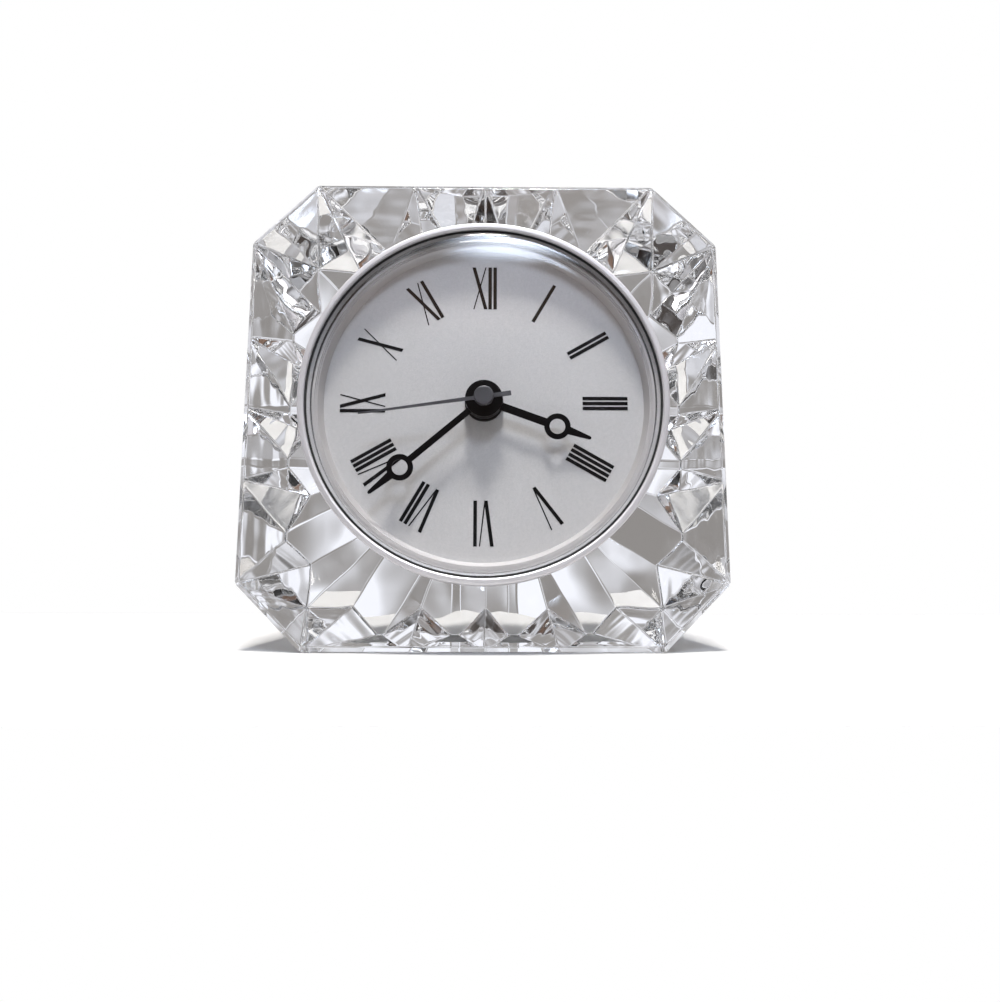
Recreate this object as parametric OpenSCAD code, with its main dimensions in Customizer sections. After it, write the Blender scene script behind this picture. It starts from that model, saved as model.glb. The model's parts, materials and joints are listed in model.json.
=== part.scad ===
/* [Crystal block] */
// Width and height of the square front of the block
block_w = 118; // [108:1:130]
// Depth of the block from its front face to its back face
block_depth = 49.5; // [40:0.5:60]
// Leg of the cut across each front corner
corner_cut = 16; // [12:0.5:20]
// Width of the narrow bevel round the front edge
edge_bevel = 1.4; // [0.8:0.1:2.5]
// Angle by which the four sides close in towards the back, in degrees
side_taper = 3.9; // [2.5:0.1:6]
// Diameter of the bore that holds the clock insert
bore_d = 77; // [74:0.5:80]

/* [Side cuts] */
// Distance from the middle of a side to the front point of an outer flute
flute_tip = 18; // [15:0.5:21]
// Distance from the middle of a side to the near end of an outer flute at the back
flute_near = 9.1; // [8:0.1:10.5]
// Distance from the middle of a side to the valley of an outer flute at the back
flute_valley = 17.4; // [15:0.2:19]
// Depth of the outer flutes at the back, measured in from the side
flute_depth = 7.2; // [4:0.2:9]
// Half width of the middle flute at the back
mid_flute_half = 6.6; // [4.5:0.1:7.5]
// Depth of the middle flute at the back, measured in from the side
mid_flute_depth = 7; // [4:0.2:10]
// Width of the flat between an outer flute and the corner cut at the back
corner_land = 2; // [1:0.1:3]
// Distance along a side from the back corner to the start of the corner cut
corner_start = 26; // [23:0.5:28]
// Distance along a side from the back corner to the valley of the corner cut
corner_valley = 19.2; // [16:0.2:21]
// Depth of the corner cut's valley, measured in from the side
corner_valley_depth = 7.5; // [5:0.25:9]
// Distance that the corner point lies in from both sides at the back
corner_point = 7.2; // [5:0.2:9]

/* [Back grooves] */
// Distance from the centre at which a diagonal groove begins
diag_groove_start = 28; // [20:1:34]
// Depth of a diagonal groove at the corner point
diag_groove_depth = 4; // [1:0.1:6]
// Distance from the centre at which an outer flute's groove begins
outer_groove_start = 24; // [18:1:28]
// Depth of an outer flute's groove at the flute's valley
outer_groove_depth = 3.4; // [1:0.1:5]
// Distance from the centre at which a middle flute's groove begins
axis_groove_start = 20; // [14:1:28]
// Depth of a middle flute's groove
axis_groove_depth = 4; // [1:0.1:6]

/* [Bezel and lens] */
// Outer diameter of the bezel
bezel_d = 87.2; // [84:0.2:92]
// Wall of the bezel
bezel_wall = 1.6; // [1.2:0.1:2.2]
// Height of the bezel above the front of the block
bezel_h = 8.4; // [7.6:0.1:10]
// Radius on the rim of the bezel
bezel_round = 0.5; // [0.2:0.1:0.7]
// Gap between the bezel and the front of the block
face_gap = 0.1; // [0.05:0.05:0.3]
// Width of the dark seal between the lens and the bezel
seal_w = 0.4; // [0.4:0.1:0.9]
// Height of the seal
seal_h = 1; // [0.6:0.1:1.4]
// Thickness of the lens
lens_t = 1.1; // [0.8:0.1:1.5]
// Height of the straight rim of the lens
lens_rim_h = 0.8; // [0.5:0.1:1.2]
// Width of the rounded shoulder of the lens
lens_shoulder = 1.8; // [1.2:0.1:2.4]
// Rise of the domed lens from its shoulder to its middle
lens_rise = 3.5; // [3.2:0.1:5]

/* [Dial] */
// Height of the dial's face above the front of the block
dial_z = 3; // [2.6:0.1:3.4]
// Thickness of the dial
dial_t = 0.4; // [0.3:0.1:0.6]
// Radius where the reflector ring meets the dial
dial_open_r = 38.4; // [37:0.2:39]
// Height of the reflector ring above the dial
reflector_h = 3.2; // [3:0.1:4]
// Width of the sloping face of the reflector ring
reflector_slope = 0.9; // [0.5:0.1:1.2]
// Radius of the inner ends of the numerals
numeral_in = 23.6; // [22:0.2:25]
// Radius of the outer ends of the numerals
numeral_out = 34.4; // [33:0.2:36]
// Thick stroke of the numerals
stroke_thick = 0.85; // [0.5:0.05:0.9]
// Thin stroke of the numerals
stroke_thin = 0.3; // [0.2:0.02:0.4]
// Spacing of the upright strokes
stroke_pitch = 1.22; // [1.1:0.02:1.4]
// Width of a V or an X between its strokes
letter_w = 2.9; // [2.4:0.1:3.3]
// Thickness of the printed numerals
print_t = 0.05; // [0.03:0.01:0.08]

/* [Hands] */
// Length of the hour hand
hour_len = 26.8; // [24:0.2:30]
// Distance of the hour hand's ring from the centre
hour_ring_at = 18.4; // [16:0.2:20]
// Length of the minute hand
minute_len = 34.8; // [31:0.2:35.4]
// Distance of the minute hand's ring from the centre
minute_ring_at = 25.4; // [22:0.2:28]
// Outer diameter of the rings on the hands
hand_ring_d = 6.2; // [5:0.1:7]
// Open diameter of the rings on the hands
hand_ring_hole = 3.7; // [3:0.1:4.2]
// Width of the hour hand's shaft
hour_shaft_w = 1.9; // [1.4:0.1:2.2]
// Width of the minute hand's shaft
minute_shaft_w = 1.5; // [1:0.1:2]
// Diameter of the hubs of the hour and minute hands
hub_d = 8.8; // [8:0.1:9.2]
// Thickness of the hands' sheet metal
hand_t = 0.35; // [0.25:0.05:0.5]
// Length of the second hand from the centre to its point
second_len = 29.3; // [26:0.2:31]
// Length of the second hand's tail
second_tail = 6.4; // [5:0.2:8]
// Width of the second hand
second_w = 0.9; // [0.5:0.05:1]
// Diameter of the cap on the second hand
cap_d = 4.6; // [4:0.1:5.4]
// Angle of the hour hand clockwise from twelve
hour_at = 110; // [0:0.1:360]
// Angle of the minute hand clockwise from twelve
minute_at = 229.6; // [0:0.1:360]
// Angle of the second hand clockwise from twelve
second_at = 261.9; // [0:0.1:360]

/* [Insert] */
// Outer diameter of the insert's cup
cup_d = 73.8; // [71:0.2:73.8]
// Wall of the cup
cup_wall = 1.6; // [1.2:0.1:2]
// Length of the cup behind the front of the block
cup_len = 17.2; // [16.2:0.2:20]
// Thickness of the rubber band round the cup, without its ribs
band_t = 0.7; // [0.5:0.05:0.7]
// Width of the rubber band
band_w = 9; // [7:0.5:12]
// Number of ribs on the rubber band
band_ribs = 3; // [2:1:3]
// Running clearance of the band in the bore and of shafts in their holes
run_gap = 0.05; // [0.02:0.01:0.08]

/* [Movement] */
// Width of the movement case
case_w = 58; // [57:0.5:60]
// Height of the movement case above the centre
case_top = 20; // [19.4:0.2:21]
// Depth of the movement case from the back of the dial
case_depth = 17.6; // [17.4:0.1:18]
// Wall of the movement case
case_wall = 1.2; // [1:0.1:1.3]
// Thickness of the movement's front plate
plate_t = 1.4; // [1.2:0.1:1.6]
// Diameter of the cell
cell_d = 14.2; // [13.6:0.1:14.4]
// Length of the cell's body
cell_len = 49; // [48.4:0.2:49.2]
// Distance of the cell below the centre
cell_drop = 15.5; // [15.4:0.1:16]
// Tooth module of the going train
train_m = 0.22; // [0.2:0.005:0.225]
// Tooth module of the minute wheel and its pinion on the centre
motion_m = 0.34; // [0.33:0.005:0.345]
// Thickness of the wheels
wheel_t = 0.6; // [0.4:0.1:0.7]
// Diameter of the threaded bush
bush_d = 7; // [6.8:0.1:7.4]
// Outer diameter of the hour pipe
hour_pipe_d = 5.3; // [5:0.1:5.4]
// Outer diameter of the minute arbor
minute_arbor_d = 3.4; // [3:0.1:3.5]
// Diameter of the second hand's arbor
second_arbor_d = 1.1; // [0.9:0.05:1.2]
// Diameter of the other arbors
arbor_d = 0.8; // [0.6:0.05:0.9]
// Diameter of the setting knob
knob_d = 9; // [7:0.5:11]
// Height of the setting knob
knob_h = 2.4; // [1.8:0.1:3]

/* [Hidden] */

fine = 96;
medium = 48;
coarse = 24;
past = 1;

// Sizes of the block that follow from those above
half = block_w / 2;
lean = side_taper;
back_half = half - (block_depth - edge_bevel) * tan(side_taper);
bore_r = bore_d / 2;
rise_z = half * cos(lean) + edge_bevel * sin(lean);

// Heights of the front pieces above the block's front face
bezel_r = bezel_d / 2;
bezel_in = bezel_r - bezel_wall;
dial_back = dial_z - dial_t;
lens_seat = dial_z + reflector_h;
lens_r = bezel_in - seal_w;
lens_edge = lens_r - lens_shoulder;
shoulder_h = 0.85 * lens_shoulder;
lens_edge_z = lens_seat + lens_rim_h + shoulder_h;
lens_top = lens_edge_z + lens_rise;
lens_curve = (lens_edge * lens_edge + lens_rise * lens_rise) / (2 * lens_rise);
lens_centre_z = lens_top - lens_curve;

// The stand point: middle of the outline, at the height of the surface below
front_y = -lens_centre_z * cos(lean) - lens_curve;
back_y = back_half * sin(lean) + block_depth * cos(lean);
rest_y = -(front_y + back_y) / 2;

// Stack of the centre pieces
washer_t = 0.2;
nut_h = 1.2;
hub_gap = 0.25;
hour_hub_h = 1.2;
minute_hub_h = 1.15;
second_hub_h = 0.8;
cap_h = 1.1;
nut_z = dial_z + washer_t;
end_gap = 0.1;
bush_top = nut_z + nut_h + end_gap;
hour_hub_z = bush_top + hub_gap;
hour_top = hour_hub_z + hour_hub_h;
minute_hub_z = hour_top + hub_gap;
minute_top = minute_hub_z + minute_hub_h;
second_hub_z = minute_top + hub_gap;
second_plate_z = second_hub_z + second_hub_h;
cap_z = second_plate_z + hand_t;

// Depths of the movement's pieces
plate_z = dial_back - plate_t;
case_back = dial_back - case_depth;
case_gap = 0.3;
case_r = cup_d / 2 - cup_wall - case_gap;
train_gap = 0.3;
pinion_over = 0.1;
clutch_r = 1.2;
motion_t = 0.8;
hour_wheel_z = plate_z - train_gap - motion_t;
minute_wheel_z = hour_wheel_z - train_gap - motion_t;
centre_wheel_z = minute_wheel_z - train_gap * 2 - motion_t;
bridge_t = 1;
bridge_z = centre_wheel_z - train_gap * 2 - bridge_t;
third_wheel_z = bridge_z - train_gap * 3 - wheel_t;
seconds_wheel_z = third_wheel_z - train_gap * 3 - wheel_t;
intermediate_z = seconds_wheel_z - train_gap * 3 - wheel_t;
case_inner = case_back + case_wall;
boss_r = 1.3;
boss_h = 0.5;
pivot_back = case_back + case_wall / 2;
pivot_depth = case_wall / 2 + boss_h + past;
bridge_left = 11;
bridge_right = 15;
bridge_edge = 1.6;
knob_gap = 0.4;
stem_in = 0.8;

// Tooth counts of the going train and the motion work
seconds_n = 60;
seconds_pinion_n = 8;
third_n = 60;
third_pinion_n = 8;
centre_n = 64;
intermediate_n = 48;
intermediate_pinion_n = 12;
rotor_n = 8;
cannon_n = 12;
minute_n = 36;
minute_pinion_n = 12;
hour_n = 48;

// Distances between the arbors, and where the arbors stand
third_dist = (seconds_pinion_n + third_n) / 2 * train_m;
centre_m = third_dist * 2 / (third_pinion_n + centre_n);
intermediate_dist = (intermediate_pinion_n + seconds_n) / 2 * train_m;
rotor_dist = (rotor_n + intermediate_n) / 2 * train_m;
motion_dist = (cannon_n + minute_n) / 2 * motion_m;
hour_m = motion_dist * 2 / (minute_pinion_n + hour_n);
third_dir = 150;
intermediate_dir = 75;
rotor_dir = 100;
setting_dir = 20;
centre = [0, 0];
third_at = polar(third_dist, third_dir);
intermediate_at = polar(intermediate_dist, intermediate_dir);
rotor_at = intermediate_at + polar(rotor_dist, rotor_dir);
setting_at = polar(motion_dist, setting_dir);

// Turn of each wheel that brings its teeth into mesh
third_turn = mesh(third_dir, seconds_pinion_n, 0, third_n);
centre_turn = mesh(third_dir + 180, third_pinion_n, 0, centre_n);
intermediate_turn = mesh(intermediate_dir, seconds_n, 0, intermediate_pinion_n);
rotor_turn = mesh(rotor_dir, intermediate_n, 0, rotor_n);
minute_wheel_turn = mesh(setting_dir, cannon_n, 0, minute_n);
hour_wheel_turn = mesh(setting_dir + 180, minute_pinion_n, 0, hour_n);

// Rotor, coil and magnet
magnet_r = 2.8;
magnet_h = 2;
stator_t = 1;
stator_lift = 2.4;
stator_z = case_inner + stator_lift;
stator_hole = magnet_r + 0.5;
stator_ring = 4.9;
magnet_z = stator_z + stator_t / 2 - magnet_h / 2;
coil_x = 20;
coil_low = 1;
coil_high = 18.6;
bobbin_low = 7.2;
bobbin_high = 14.2;
core_w = 3;
core_t = 1;
arm_h = 4;
winding_r = 3;
bobbin_flange_r = 3.3;
core_z = stator_z + stator_t;
cheek_t = 0.6;
bobbin_r = 2;
stator_foot = [1, -2];

// Circuit board, its chip and its resonator
board_gap = 0.8;
board_low = [case_wall + board_gap - case_w / 2, -5.5];
board_size = [11, 20];
board_t = 0.8;
board_lift = 1;
board_z = case_inner + board_lift;
chip_at = [5.4, 6];
chip_r = 2.4;
chip_h = 0.9;
can_at = [2, 13];
can_r = 1;
can_len = 6;

// Cell and its chamber
cell_r = cell_d / 2;
cell_gap = 0.4;
cell_z = case_back + cell_gap + cell_r;
chamber_low = -cell_drop - cell_r - cell_gap;
chamber_high = -cell_drop + cell_r + cell_gap;
chamber_front = cell_z + cell_r + cell_gap;
contact_t = 0.4;
contact_w = 8;
spring_wire = 0.5;
spring_turns = 2;
spring_out = 2.5;
nub_len = 1.4;
nub_r = 2.7;
contact_gap = 0.3;
spring_h = 1;
chamber_half = (cell_len + nub_len + spring_h) / 2 + contact_gap + contact_t;
cell_start = -chamber_half + contact_t + spring_h + contact_gap;

function polar(r, a) = [r * cos(a), r * sin(a)];
function mesh(dir, n1, turn1, n2) = dir + 180 - (0.5 - (dir - turn1) * n1 / 360) * 360 / n2;
function arc(c, r, a0, a1, steps) =
    [for (i = [0 : steps]) c + polar(r, a0 + (a1 - a0) * i / steps)];

// Sets the leaning frame of the block's face on the surface below
module stand() {
    translate([0, rest_y, rise_z]) rotate([90 - lean, 0, 0]) children();
}

module at(p, z) {
    translate([p[0], p[1], z]) children();
}

module tube(r_out, r_in, z0, z1, sides = fine) {
    translate([0, 0, z0]) difference() {
        cylinder(r = r_out, h = z1 - z0, $fn = sides);
        translate([0, 0, -past]) cylinder(r = r_in, h = z1 - z0 + 2 * past, $fn = sides);
    }
}

module rod(r, z0, z1, sides = medium) {
    translate([0, 0, z0]) cylinder(r = r, h = z1 - z0, $fn = sides);
}

// Points of one side, and the same points turned to side k
function turned(p, k) = [p[0] * cos(90 * k) - p[1] * sin(90 * k),
    p[0] * sin(90 * k) + p[1] * cos(90 * k), p[2]];
function back_point(inset, along, lift = 0) = [back_half - inset, along, lift - block_depth];
front_corner = half - corner_cut;
front_inset = edge_bevel * (sqrt(2) - 1);
valley_along = back_half - corner_valley;
start_along = back_half - corner_start;
flute_far = start_along - corner_land;
face_side = [for (s = [-1, 1]) [half - edge_bevel, s * (front_corner - front_inset), 0]];
edge_side = [for (y = [-front_corner, -flute_tip, 0, flute_tip, front_corner])
    [half, y, -edge_bevel]];
back_side = [
    back_point(corner_point, corner_point - back_half, diag_groove_depth),
    back_point(corner_valley_depth, -valley_along), back_point(0, -start_along),
    back_point(0, -flute_far), back_point(flute_depth, -flute_valley, outer_groove_depth),
    back_point(0, -flute_near), back_point(0, -mid_flute_half),
    back_point(mid_flute_depth, 0, axis_groove_depth),
    back_point(0, mid_flute_half), back_point(0, flute_near),
    back_point(flute_depth, flute_valley, outer_groove_depth),
    back_point(0, flute_far), back_point(0, start_along),
    back_point(corner_valley_depth, valley_along)];
groove_side = [
    concat(-polar(diag_groove_start, 135), [-block_depth]),
    [outer_groove_start, -flute_near, -block_depth],
    [axis_groove_start, -mid_flute_half, -block_depth],
    [axis_groove_start, 0, axis_groove_depth - block_depth],
    [axis_groove_start, mid_flute_half, -block_depth],
    [outer_groove_start, flute_near, -block_depth]];
groups = [face_side, edge_side, back_side, groove_side];
block_points = [for (g = groups) each [for (k = [0 : 3]) each [for (p = g) turned(p, k)]]];
face_n = len(face_side);
edge_n = len(edge_side);
back_n = len(back_side);
groove_n = len(groove_side);
function fi(k, i) = (k % 4) * face_n + i;
function ei(k, i) = 4 * face_n + (k % 4) * edge_n + i;
function bi(k, i) =
    4 * (face_n + edge_n) + ((k + floor(i / back_n)) % 4) * back_n + i % back_n;
function gi(k, i) =
    4 * (face_n + edge_n + back_n) + ((k + floor(i / groove_n)) % 4) * groove_n + i % groove_n;
// Each front point of a side, with the run of back points that it fans out to
side_fans = [[0, 0, 2], [1, 3, 5], [2, 6, 8], [3, 9, 11], [4, 12, 14]];
side_flats = [[0, 2], [1, 5], [2, 8], [3, 11]];
// Faces on the back of a side: the groove points of each, then its points on the edge
back_faces = [
    [[0], [0, 1]], [[1, 0], [1, 2, 3]], [[1], [3, 4]], [[1], [4, 5]], [[2, 1], [5, 6]],
    [[3, 2], [6, 7]], [[4, 3], [7, 8]],
    [[5, 4], [8, 9]], [[5], [9, 10]], [[5], [10, 11]], [[6, 5], [11, 12, 13]], [[6], [13, 14]]];

// Square block of lead crystal, its sides cut with flutes that widen to the back
module block_body() {
    faces = concat(
        [[for (k = [3 : -1 : 0]) each [fi(k, 1), fi(k, 0)]]],
        [for (k = [0 : 3]) each [
            concat([fi(k, 0), fi(k, 1)], [for (i = [edge_n - 1 : -1 : 0]) ei(k, i)]),
            [ei(k + 1, 0), ei(k, edge_n - 1), fi(k, 1), fi(k + 1, 0)],
            [bi(k, back_n), ei(k, edge_n - 1), ei(k + 1, 0)]]],
        [for (k = [0 : 3]) each [for (f = side_fans) each
            [for (i = [f[1] : f[2] - 1]) [ei(k, f[0]), bi(k, i + 1), bi(k, i)]]]],
        [for (k = [0 : 3]) each [for (f = side_flats)
            [ei(k, f[0]), ei(k, f[0] + 1), bi(k, f[1] + 1), bi(k, f[1])]]],
        [for (k = [0 : 3]) each [for (f = back_faces)
            concat([for (i = f[0]) gi(k, i)], [for (i = f[1]) bi(k, i)])]],
        [for (k = [0 : 3]) [gi(k, 2), gi(k, 3), gi(k, 4)]],
        [[for (k = [0 : 3]) each [for (i = [0, 1, 2, 4, 5]) gi(k, i)]]]);
    polyhedron(points = block_points, faces = faces, convexity = 8);
}

module crystal_block() {
    color([0.86, 0.9, 0.92, 0.5]) stand() difference() {
        block_body();
        rod(bore_r, -block_depth - past, past, fine);
    }
}

// Straight ring that stands on the block's face and frames the lens
module bezel() {
    rim = concat(
        [[bezel_in, face_gap], [bezel_r, face_gap]],
        arc([bezel_r - bezel_round, bezel_h - bezel_round], bezel_round, 0, 90, 6),
        arc([bezel_in + bezel_round, bezel_h - bezel_round], bezel_round, 90, 180, 6));
    color([0.82, 0.82, 0.83]) stand() rotate_extrude($fn = fine) polygon(rim);
}

// Dark soft ring in the groove between the lens and the bezel
module lens_seal() {
    color([0.12, 0.11, 0.12]) stand() tube(bezel_in, lens_r, lens_seat, lens_seat + seal_h);
}

// Clear domed lens with a rounded shoulder
module lens() {
    dome_end = asin(lens_edge / lens_curve);
    in_curve = lens_curve - lens_t;
    in_end = asin((lens_edge - lens_t / 2) / in_curve);
    shoulder = [for (a = [0 : 11.25 : 90])
        [lens_edge + lens_shoulder * cos(a), lens_seat + lens_rim_h + shoulder_h * sin(a)]];
    shape = concat(
        [[lens_r - lens_t, lens_seat], [lens_r, lens_seat]], shoulder,
        [for (i = [1 : 16]) [0, lens_centre_z] + polar(lens_curve, 90 - dome_end * (1 - i / 16))],
        [for (i = [0 : 16]) [0, lens_centre_z] + polar(in_curve, 90 - in_end * i / 16)]);
    color([0.9, 0.95, 1, 0.3]) stand() rotate_extrude($fn = fine) polygon(shape);
}

// Ring under the lens, with a bright seat, two fine steps and a slope to the dial
module reflector_ring() {
    step = 0.3;
    top_in = dial_open_r + reflector_slope;
    shape = [[dial_open_r, dial_z], [lens_r, dial_z], [lens_r, lens_seat],
        [top_in + step * 2, lens_seat], [top_in + step * 2, lens_seat - step],
        [top_in + step, lens_seat - step], [top_in + step, lens_seat - step * 2],
        [top_in, lens_seat - step * 2]];
    color([0.8, 0.79, 0.77]) stand() rotate_extrude($fn = fine) polygon(shape);
}

// Plain disc behind the hands
module dial() {
    color([0.75, 0.75, 0.77]) stand() tube(lens_r, bush_d / 2 + run_gap, dial_back, dial_z);
}

module stroke(x0, x1, w) {
    polygon([[x0 - w / 2, numeral_in], [x0 + w / 2, numeral_in], [x1 + w / 2, numeral_out],
        [x1 - w / 2, numeral_out]]);
}

// Letters of each hour from one to twelve
letter_gap = 1.05;
letters = ["I", "II", "III", "IIII", "V", "VI", "VII", "VIII", "IX", "X", "XI", "XII"];
function letter_half(c) = c == "I" ? 0 : letter_w / 2;
function pair_gap(a, b) = letter_half(a) + letter_half(b) + (a == b ? stroke_pitch : letter_gap);
function letter_x(word, i) = i == 0 ? 0 : letter_x(word, i - 1) + pair_gap(word[i - 1], word[i]);
function word_mid(word) = (letter_x(word, len(word) - 1) + letter_half(word[len(word) - 1])
    - letter_half(word[0])) / 2;

module letter(c) {
    if (c == "I") stroke(0, 0, stroke_thick);
    if (c == "V") {
        stroke(0, -letter_w / 2, stroke_thick);
        stroke(stroke_thick / 4, letter_w / 2, stroke_thin);
    }
    if (c == "X") {
        stroke(letter_w / 2, -letter_w / 2, stroke_thick);
        stroke(-letter_w / 2, letter_w / 2, stroke_thin);
    }
}

// Twelve printed numerals with their feet towards the centre
module numerals() {
    color([0.05, 0.05, 0.06]) stand() translate([0, 0, dial_z])
        linear_extrude(height = print_t) for (h = [1 : 12]) rotate([0, 0, -30 * h])
            for (i = [0 : len(letters[h - 1]) - 1])
                translate([letter_x(letters[h - 1], i) - word_mid(letters[h - 1]), 0])
                    letter(letters[h - 1][i]);
}

module dial_washer() {
    color([0.15, 0.15, 0.16]) stand() tube(hub_d / 2, bush_d / 2, dial_z, nut_z, medium);
}

// Round nut with two slots that holds the movement to the dial
module dial_nut() {
    slot_w = 0.8;
    slot_from = bush_d / 2 + 0.2;
    nut_r = hub_d / 2 + 0.2;
    color([0.08, 0.08, 0.09]) stand() difference() {
        tube(nut_r, bush_d / 2, nut_z, nut_z + nut_h, medium);
        for (a = [40, 220]) rotate([0, 0, a])
            translate([slot_from, -slot_w / 2, nut_z + nut_h / 2]) cube([nut_r, slot_w, nut_h]);
    }
}

// Threaded bush that carries the movement and guides the hour pipe
module centre_bush() {
    color([0.8, 0.66, 0.32]) stand()
        tube(bush_d / 2, hour_pipe_d / 2 + run_gap, plate_z, bush_top, medium);
}

// Plastic cup with a flange that closes the bezel from behind
module insert_cup() {
    in_r = cup_d / 2 - cup_wall;
    color([0.2, 0.19, 0.19]) stand() rotate_extrude($fn = fine) polygon([
        [in_r, -cup_len], [cup_d / 2, -cup_len], [cup_d / 2, face_gap], [bezel_in, face_gap],
        [bezel_in, dial_back], [in_r, dial_back]]);
}

// Ribbed rubber band that grips the bore
module bore_band() {
    band_in = cup_d / 2;
    band_out = band_in + band_t;
    rib_out = bore_r - run_gap;
    band_from_end = 2.5;
    band_low = band_from_end - cup_len;
    pitch = band_w / band_ribs;
    rib_w = pitch * 0.4;
    shape = concat([[band_in, band_low]],
        [for (i = [0 : band_ribs - 1]) each [
            [band_out, band_low + pitch * i], [band_out, band_low + pitch * i + rib_w / 2],
            [rib_out, band_low + pitch * i + rib_w], [rib_out, band_low + pitch * i + rib_w * 1.5],
            [band_out, band_low + pitch * i + rib_w * 2]]],
        [[band_out, band_low + band_w], [band_in, band_low + band_w]]);
    color([0.1, 0.1, 0.1]) stand() rotate_extrude($fn = fine) polygon(shape);
}

// Outline of the movement: a rectangle with its corners rounded by the cup
module case_outline(inset = 0) {
    low = chamber_low - case_wall;
    intersection() {
        circle(r = case_r - inset, $fn = fine);
        translate([-case_w / 2 + inset, low + inset])
            square([case_w - 2 * inset, case_top - low - 2 * inset]);
    }
}

// Holes for arbors of radius r at the places given
module pivots(places, r, z0, z1) {
    for (p = places) at(p, 0) rod(r + run_gap, z0, z1, coarse);
}

// Front plate of the movement, with the pivots of the motion work
module movement_plate() {
    color([0.16, 0.16, 0.17]) stand() difference() {
        translate([0, 0, plate_z]) linear_extrude(height = plate_t) case_outline();
        rod(bush_d / 2, plate_z - past, dial_back + past);
        pivots([third_at, setting_at], arbor_d / 2, plate_z - past, plate_z + plate_t / 2);
    }
}

module chamber_block(grow, z0, z1) {
    translate([-chamber_half - grow, chamber_low - grow, z0])
        cube([2 * (chamber_half + grow), chamber_high - chamber_low + 2 * grow, z1 - z0]);
}

// Rear tray of the movement, with the cell's chamber open to the back
module movement_case() {
    chamber_wall = 0.8;
    color([0.16, 0.16, 0.17]) stand() difference() {
        union() {
            difference() {
                translate([0, 0, case_back]) linear_extrude(height = plate_z - case_back)
                    case_outline();
                translate([0, 0, case_inner])
                    linear_extrude(height = plate_z + past - case_inner) case_outline(case_wall);
            }
            intersection() {
                chamber_block(chamber_wall, case_back, plate_z);
                translate([0, 0, case_back]) linear_extrude(height = plate_z - case_back)
                    case_outline();
            }
            for (p = [centre, third_at, intermediate_at, rotor_at])
                at(p, 0) rod(boss_r, case_inner, case_inner + boss_h, coarse);
        }
        chamber_block(0, case_back - past, chamber_front);
        pivots([third_at, intermediate_at, rotor_at], arbor_d / 2, pivot_back,
            pivot_back + pivot_depth);
        pivots([centre], second_arbor_d / 2, pivot_back, pivot_back + pivot_depth);
        pivots([setting_at], arbor_d, case_back - past, case_inner + past);
    }
}

// Plate between the hands' wheels and the going train
module bridge_plate() {
    bridge_low = bridge_z - past;
    bridge_high = bridge_z + bridge_t + past;
    bridge_top = case_top - case_wall - case_gap;
    color([0.78, 0.76, 0.7]) stand() difference() {
        translate([-bridge_left, chamber_high + bridge_edge, bridge_z])
            cube([bridge_left + bridge_right, bridge_top - chamber_high - bridge_edge, bridge_t]);
        pivots([centre], second_arbor_d / 2, bridge_low, bridge_high);
        pivots([setting_at], arbor_d, bridge_low, bridge_high);
        pivots([third_at], arbor_d / 2, bridge_low, bridge_high);
        pivots([intermediate_at, rotor_at], arbor_d / 2, bridge_low, bridge_z + bridge_t / 2);
    }
}

module strip(a, b, w) {
    run = b - a;
    translate(a) rotate([0, 0, atan2(run[1], run[0])])
        translate([0, -w / 2]) square([norm(run), w]);
}

// Iron plate that leads the coil's field round the rotor
module stator() {
    color([0.62, 0.62, 0.64]) stand() difference() {
        translate([0, 0, stator_z]) linear_extrude(height = stator_t) union() {
            translate(rotor_at) circle(r = stator_ring, $fn = medium);
            strip([rotor_at[0], coil_high - arm_h / 2], [coil_x + arm_h / 2, coil_high - arm_h / 2],
                arm_h);
            strip(rotor_at + stator_foot, [coil_x, coil_low + arm_h / 2], arm_h);
            translate([coil_x, coil_low + arm_h / 2]) circle(r = arm_h / 2, $fn = medium);
        }
        at(rotor_at, 0) rod(stator_hole, stator_z - past, stator_z + stator_t + past);
    }
}

module coil_core() {
    color([0.6, 0.6, 0.62]) stand() translate([coil_x - core_w / 2, coil_low, core_z])
        cube([core_w, coil_high - coil_low, core_t]);
}

module along_coil(y) {
    translate([coil_x, y, core_z + core_t / 2]) rotate([-90, 0, 0]) children();
}

module core_slot() {
    translate([coil_x - core_w / 2, coil_low, core_z]) cube([core_w, coil_high, core_t]);
}

// Spool that slides on the coil's core
module coil_bobbin() {
    color([0.85, 0.82, 0.72]) stand() difference() {
        union() {
            along_coil(bobbin_low) rod(bobbin_r, 0, bobbin_high - bobbin_low);
            for (y = [bobbin_low, bobbin_high - cheek_t])
                along_coil(y) rod(bobbin_flange_r, 0, cheek_t);
        }
        core_slot();
    }
}

// Fine copper wire, drawn as the solid that its close turns fill
module coil_winding() {
    color([0.72, 0.4, 0.2]) stand() along_coil(bobbin_low)
        tube(winding_r, bobbin_r, cheek_t, bobbin_high - bobbin_low - cheek_t, medium);
}

module circuit_board() {
    color([0.2, 0.36, 0.22]) stand() at(board_low, board_z)
        cube([board_size[0], board_size[1], board_t]);
}

// Round blob of black resin over the timing chip
module timing_chip() {
    color([0.05, 0.05, 0.05]) stand() at(board_low + chip_at, board_z + board_t)
        rod(chip_r, 0, chip_h);
}

// Metal can of the quartz resonator, lying on the board
module resonator_can() {
    color([0.75, 0.75, 0.77]) stand() at(board_low + can_at, board_z + board_t + can_r)
        rotate([0, 90, 0]) rod(can_r, 0, can_len, coarse);
}

module contact(side) {
    x = side * (chamber_half - contact_t / 2);
    translate([x, -cell_drop, cell_z]) cube([contact_t, contact_w, cell_r], center = true);
}

module contact_positive() {
    color([0.8, 0.74, 0.5]) stand() contact(1);
}

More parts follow.
